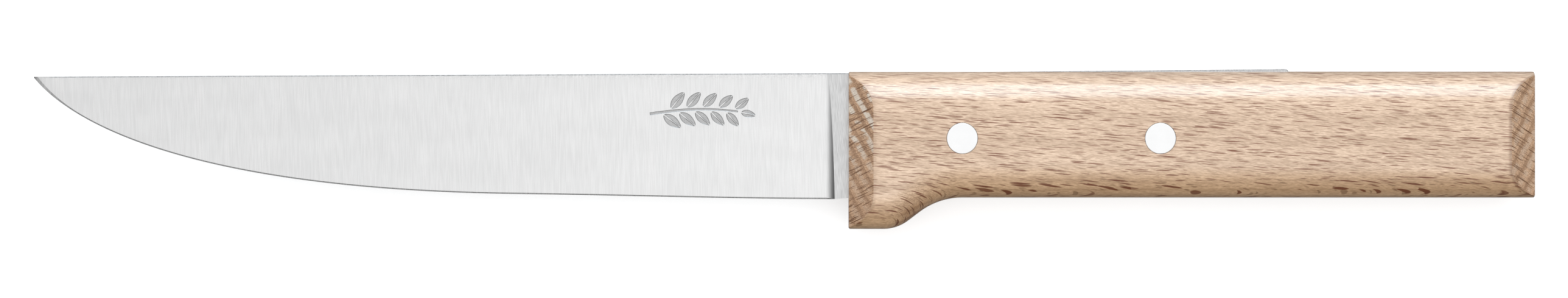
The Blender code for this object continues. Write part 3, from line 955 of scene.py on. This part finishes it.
def end_distances(half_width):
    """Distances from an end face of one lengthwise line's points: round the end, facet, corner."""
    corner = max(0.0, half_width - END_FACE_HALF)
    before = max(END_ROUNDING + SLIVER, corner - CORNER_SPREAD * FACET_ROUNDING)
    after = max(before + SLIVER, corner + CORNER_SPREAD * FACET_ROUNDING)
    distances = [END_ROUNDING * (1 - math.cos(t * math.pi / 2)) for t in shares(END_ARC_POINTS)]
    distances += [mix(END_ROUNDING, before, t) for t in shares(FACET_POINTS)[1:]]
    distances += [mix(before, after, t) for t in shares(CORNER_POINTS)[1:]]
    distances += [mix(after, END_ZONE, t) for t in shares(FACET_POINTS)[1:]]
    return distances


def facet_limit(distance):
    """Half thickness that the facets leave at a distance from an end face."""
    start = 1 - math.cos(math.pi / 4)
    if distance >= END_ROUNDING * start:
        return END_FACE_HALF + distance
    foot = END_FACE_HALF - END_ROUNDING * math.tan(math.pi / 8)
    return foot + math.sqrt(END_ROUNDING**2 - (END_ROUNDING - distance) ** 2)


def softer_min(a, b, softness):
    overlap = max(softness - abs(a - b), 0) / softness
    return min(a, b) - overlap**2 * softness / 4


def handle_point(station, u):
    """Point (u, v, w) on the right half of the handle, with its ends rounded and its facets cut."""
    v, w, normal = section_point(station, u)
    distance = min(u, HANDLE_LENGTH - u)
    into = max(0.0, END_ROUNDING - distance)
    inset = END_ROUNDING - math.sqrt(END_ROUNDING**2 - into**2)
    v -= normal.x * inset
    w -= normal.y * inset
    return u, v, softer_min(w, facet_limit(distance), FACET_ROUNDING)


def lengthwise_places(station):
    """Places along the handle of the points of one lengthwise line."""
    front = end_distances(section_point(station, 0)[1])
    butt = [HANDLE_LENGTH - d for d in end_distances(section_point(station, HANDLE_LENGTH)[1])[::-1]]
    middle = [mix(END_ZONE, GUARD_ZONE_END, t) for t in shares(GUARD_PLACES)[1:]]
    middle += [mix(GUARD_ZONE_END, HANDLE_LENGTH - END_ZONE, t) for t in shares(GRIP_PLACES)[1:-1]]
    return front + middle + butt


def make_handle(material):
    lines = []
    for station in section_stations():
        lines.append([handle_point(station, u) for u in lengthwise_places(station)])
    bm = bmesh.new()
    rings = []
    for section in zip(*lines):
        right = [bm.verts.new(world(u, v, w)) for u, v, w in section]
        left = [bm.verts.new(world(u, v, -w)) for u, v, w in section[1:-1]]
        rings.append(right + left[::-1])
    for ring, following in zip(rings, rings[1:]):
        join_rings(bm, ring, following)
    for ring in (rings[0], rings[-1]):
        close_end_face(bm, ring)
    handle = finish(bm, "beech_handle", [material])
    cutters = [slot_cutter()]
    for place, centre in RIVETS.items():
        cutters.append(finish(turned(rivet_hole_profile(), centre), f"{place}_rivet_hole"))
    carve(handle, cutters, HANDLE_SMOOTH_ANGLE)
    return handle


def close_end_face(bm, ring):
    """Close the end of the block with strips between its two mirrored sides."""
    count = len(ring)
    middle = count // 2
    bm.faces.new((ring[0], ring[1], ring[-1]))
    for i in range(1, middle - 1):
        bm.faces.new((ring[i], ring[i + 1], ring[count - i - 1], ring[count - i]))
    bm.faces.new((ring[middle - 1], ring[middle], ring[middle + 1]))


def slot_cutter():
    """The tang's outline with clearance, open at the handle's top and front."""
    half = SHEET_HALF + SLOT_CLEARANCE
    lower = [(u, bottom) for u, _, bottom in tang_columns() if 0 <= u <= TANG_STEP_END]
    outline = [(-CUTTER_REACH, CUTTER_REACH), (-CUTTER_REACH, RICASSO_BOTTOM_V - SLOT_CLEARANCE)]
    outline += [(u + SLOT_CLEARANCE * (u > 0), bottom - SLOT_CLEARANCE) for u, bottom in lower]
    end = TANG_LENGTH + SLOT_CLEARANCE
    outline += [(end, -TANG_DEPTH - SLOT_CLEARANCE), (end, CUTTER_REACH)]
    bm = bmesh.new()
    rings = [[bm.verts.new(world(u, v, w)) for u, v in outline] for w in (-half, half)]
    join_rings(bm, *rings)
    bm.faces.new(rings[0])
    bm.faces.new(rings[1])
    return finish(bm, "slot_cutter")


def rivet_hole_profile():
    seat_radius = HEAD_RADIUS + HEAD_CLEARANCE
    seat_w = HEAD_FACE_W - HEAD_THICKNESS - HEAD_CLEARANCE
    bore = SLEEVE_RADIUS + BORE_CLEARANCE
    upper = [(seat_radius, HANDLE_HALF + CUTTER_REACH), (seat_radius, seat_w), (bore, seat_w)]
    return upper + [(r, -w) for r, w in upper[::-1]]


# ---------------------------------------------------------------- rivets


RIM_POINTS = 5
FACE_RINGS = (0.3, 0.6, 0.9)  # shares of the head's radius
RIVET_SMOOTH_ANGLE = 30


def head_face():
    """A head's face and rounded rim, from the middle out: (radius, depth below the face)."""
    face = [(HEAD_RADIUS * t, 0.0) for t in FACE_RINGS]
    for turn in (t * math.pi / 2 for t in shares(RIM_POINTS)):
        radius = HEAD_RADIUS - HEAD_ROUNDING * (1 - math.sin(turn))
        face.append((radius, HEAD_ROUNDING * (1 - math.cos(turn))))
    return face


def post_profile():
    seat = HEAD_FACE_W - HEAD_THICKNESS
    tip = SLEEVE_FLOOR_W + POST_TIP_GAP
    head = [(radius, HEAD_FACE_W - depth) for radius, depth in head_face()]
    shank = [(SHANK_RADIUS, seat), (SHANK_RADIUS, tip + POST_CHAMFER), (SHANK_RADIUS - POST_CHAMFER, tip)]
    return head + [(HEAD_RADIUS, seat)] + shank


def sleeve_profile():
    bore = SHANK_RADIUS + BORE_CLEARANCE
    seat = HEAD_THICKNESS - HEAD_FACE_W
    hollow = [(bore, SLEEVE_FLOOR_W), (bore, SLEEVE_END_W)]
    tube = [(SLEEVE_RADIUS, SLEEVE_END_W), (SLEEVE_RADIUS, seat)]
    head = [(radius, depth - HEAD_FACE_W) for radius, depth in head_face()]
    return hollow + tube + [(HEAD_RADIUS, seat)] + head[::-1]


def make_rivets(material):
    pieces = {}
    for place, centre in RIVETS.items():
        for half, profile in (("post", post_profile()), ("sleeve", sleeve_profile())):
            node = f"{place}_rivet_{half}"
            pieces[node] = finish(turned(profile, centre), f"{node}_turned", [material], RIVET_SMOOTH_ANGLE)
    return pieces


# ------------------------------------------------------------ the object


def dress(piece, node):
    """A fine piece stands for one CAD node and moves with it."""
    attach(piece, "root")
    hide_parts(node)


dress(make_blade(blade_steels()), "blade")
dress(make_handle(beech()), "handle")
for node, piece in make_rivets(rivet_metal()).items():
    dress(piece, node)


# ------------------------------------------------- floor, light and camera

FLOOR_HALF = 40.0  # metres
FLOOR_GLOW = 0.5
FLOOR_DROP = 0.00002  # metres, so that the floor doesn't coincide with the knife's flat side
VIEW_WIDTH_MM = 308.0  # width of the picture at the blade's middle plane
LENS_MM = 280.0
SENSOR_MM = 36.0


def make_floor():
    """A pale floor that the camera sees, but that doesn't light the knife from below."""
    bm = bmesh.new()
    bmesh.ops.create_grid(bm, x_segments=1, y_segments=1, size=FLOOR_HALF)
    material, _, shader = new_material("pale_floor", (0.9, 0.9, 0.9), Roughness=0.9,
                                       Specular_IOR_Level=0.0, Emission_Strength=FLOOR_GLOW)
    shader.inputs["Emission Color"].default_value = (1, 1, 1, 1)
    floor = finish(bm, "floor", [material])
    floor.location.z = -FLOOR_DROP
    floor.visible_diffuse = False
    floor.visible_glossy = False


# Radiance of the studio by height of the direction, from straight down (-1) to straight up (1).
SKY_LIGHT = ((-1.0, 0.1), (-0.28, 0.12), (0.05, 0.32), (0.59, 0.68), (0.91, 1.0), (0.99, 1.22), (1.0, 1.22))

SPINE_FILL = 0.54  # radiance added on the spine's side
FILL_SPAN = (0.2, 0.95)


def make_sky():
    """Soft studio light, strongest overhead."""
    sky = bpy.data.worlds.new("studio")
    bpy.context.scene.world = sky
    sky.use_nodes = True
    tree = sky.node_tree
    direction = add(tree, "TexCoord", {}, "Generated")
    height = axis_of(tree, direction, "Z")
    place = add(tree, "MapRange", {"Value": height, "From Min": -1.0, "From Max": 1.0})
    ramp = tree.nodes.new("ShaderNodeValToRGB")
    stops = ramp.color_ramp.elements
    brightest = max(light for _, light in SKY_LIGHT)
    while len(stops) < len(SKY_LIGHT):
        stops.new(1.0)
    for stop, (z, light) in zip(stops, SKY_LIGHT):
        stop.position = (z + 1) / 2
        stop.color = (light / brightest,) * 3 + (1,)
    feed(tree, ramp.inputs["Fac"], place)
    fill = between(tree, axis_of(tree, direction, "Y"), FILL_SPAN, to=(0.0, SPINE_FILL / brightest))
    background = tree.nodes["Background"]
    feed(tree, background.inputs["Color"], blend(tree, 1.0, ramp.outputs["Color"], grey(tree, fill), "ADD"))
    background.inputs["Strength"].default_value = brightest


def make_softbox(name, place, aim, width, height, power, colour):
    """A lamp that makes the highlight along the handle's crown; places and sizes in metres."""
    data = bpy.data.lights.new(name, "AREA")
    data.shape = "RECTANGLE"
    data.size = width
    data.size_y = height
    data.energy = power
    data.color = colour
    box = bpy.data.objects.new(name, data)
    bpy.context.collection.objects.link(box)
    box.location = place
    box.rotation_euler = (Vector(aim) - Vector(place)).to_track_quat("-Z", "Y").to_euler()
    box.visible_camera = False


def make_camera():
    data = bpy.data.cameras.new("camera")
    data.lens = LENS_MM
    data.sensor_width = SENSOR_MM
    data.clip_start = 0.05
    data.clip_end = 200.0
    camera = bpy.data.objects.new("camera", data)
    bpy.context.collection.objects.link(camera)
    camera.location = (0, 0, REFERENCE.z + VIEW_WIDTH_MM * MM * LENS_MM / SENSOR_MM)
    bpy.context.scene.camera = camera


make_floor()
make_sky()
make_softbox("spine_softbox", place=(0.06, 1.2, 0.64), aim=(0.06, 0, 0.64), width=0.65, height=1.2,
             power=9.1, colour=(0.8, 0.93, 1.04))
make_camera()
bpy.context.scene.view_settings.view_transform = "Standard"
